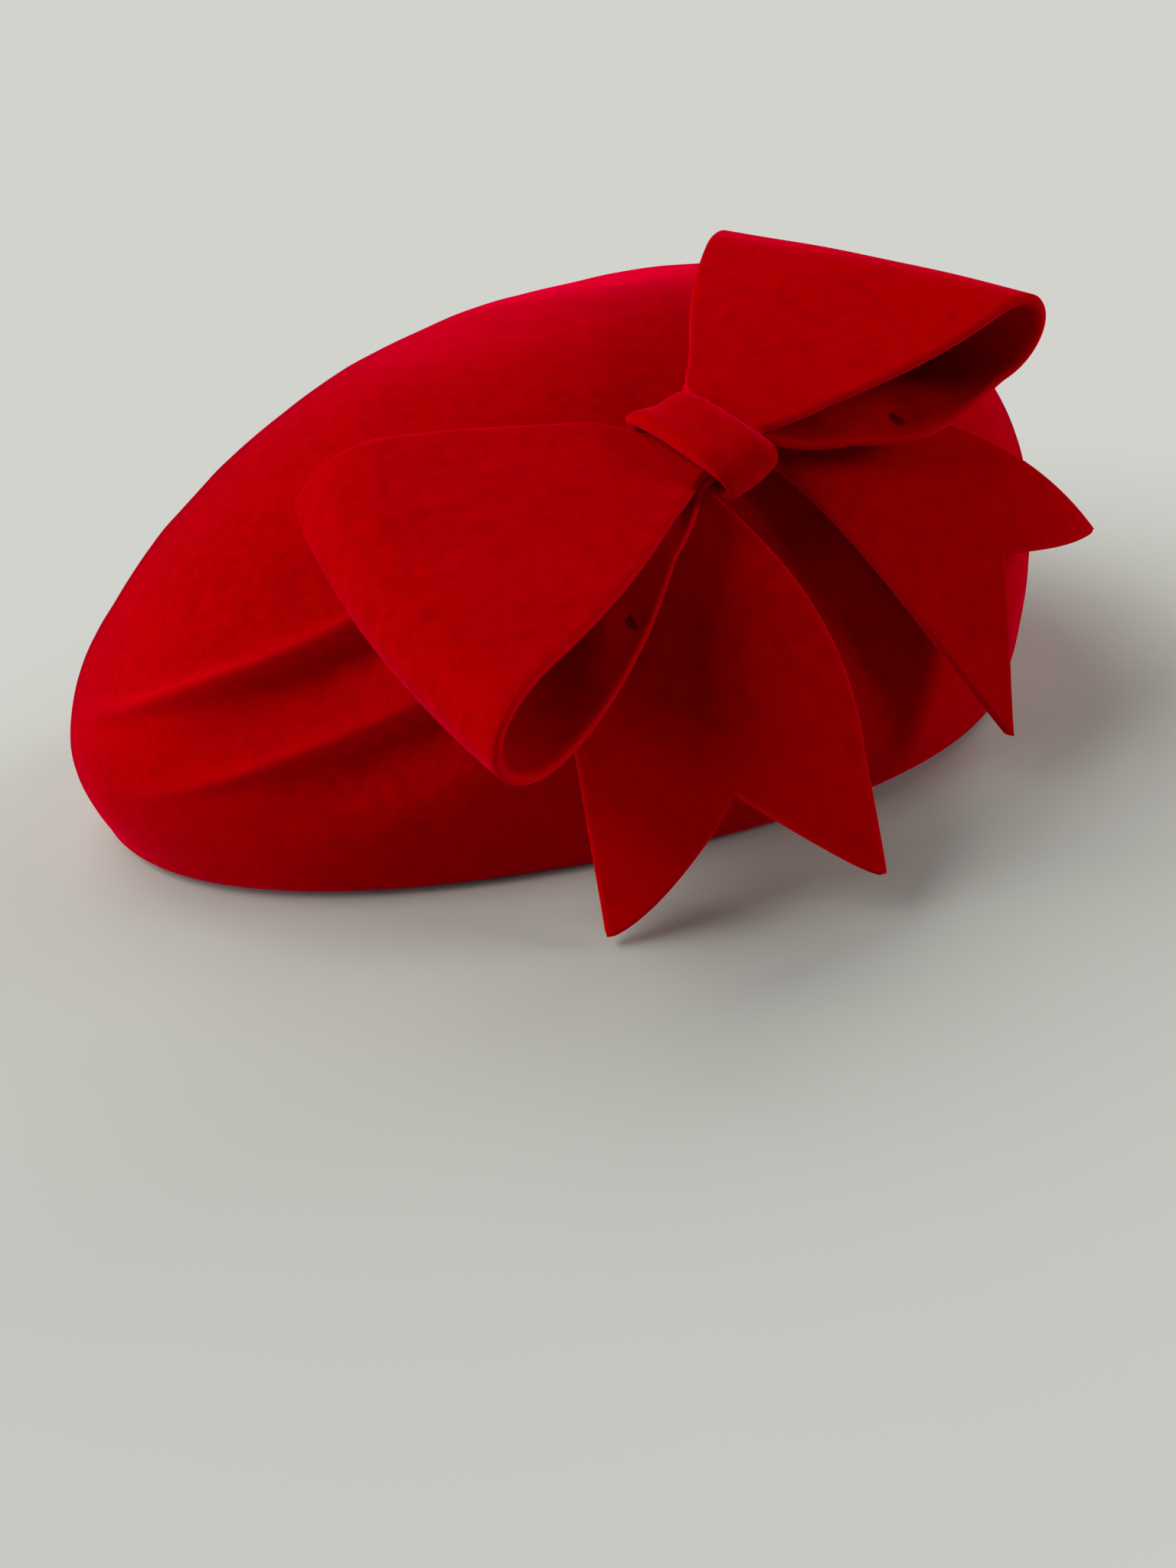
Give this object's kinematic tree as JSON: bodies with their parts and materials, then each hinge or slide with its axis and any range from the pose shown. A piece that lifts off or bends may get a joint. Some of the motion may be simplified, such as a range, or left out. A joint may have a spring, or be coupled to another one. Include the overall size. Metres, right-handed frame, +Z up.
{
  "type": "felt beret",
  "caption": "Small wool felt beret with a leaning blocked crown, soft tucks, a wired rim and a sewn felt bow with swallow-tailed ends; perches on the head.",
  "frame": {"origin": "middle of the head opening, in the plane the rim rests on", "axes": "+Z up out of the crown, +X along the long way of the oval towards the bow side, -Y towards the front"},
  "size_m": [0.2307, 0.2177, 0.1023],
  "materials": {
    "crown_felt": "red wool felt, brushed",
    "bow_felt": "red wool felt, stiffened",
    "ribbon": "ribbed ribbon",
    "thread": "sewing thread",
    "wire": "millinery wire"
  },
  "bodies": {
    "root": {"crown": "crown_felt", "rim_wire": "wire", "sweatband": "ribbon", "bow_loop_left": "bow_felt", "bow_loop_right": "bow_felt", "bow_knot": "bow_felt", "bow_tail_left": "bow_felt", "bow_tail_right": "bow_felt", "loop_tack_left": "thread", "loop_tack_right": "thread", "knot_stitch_left": "thread", "knot_stitch_right": "thread"}
  },
  "joints": []
}
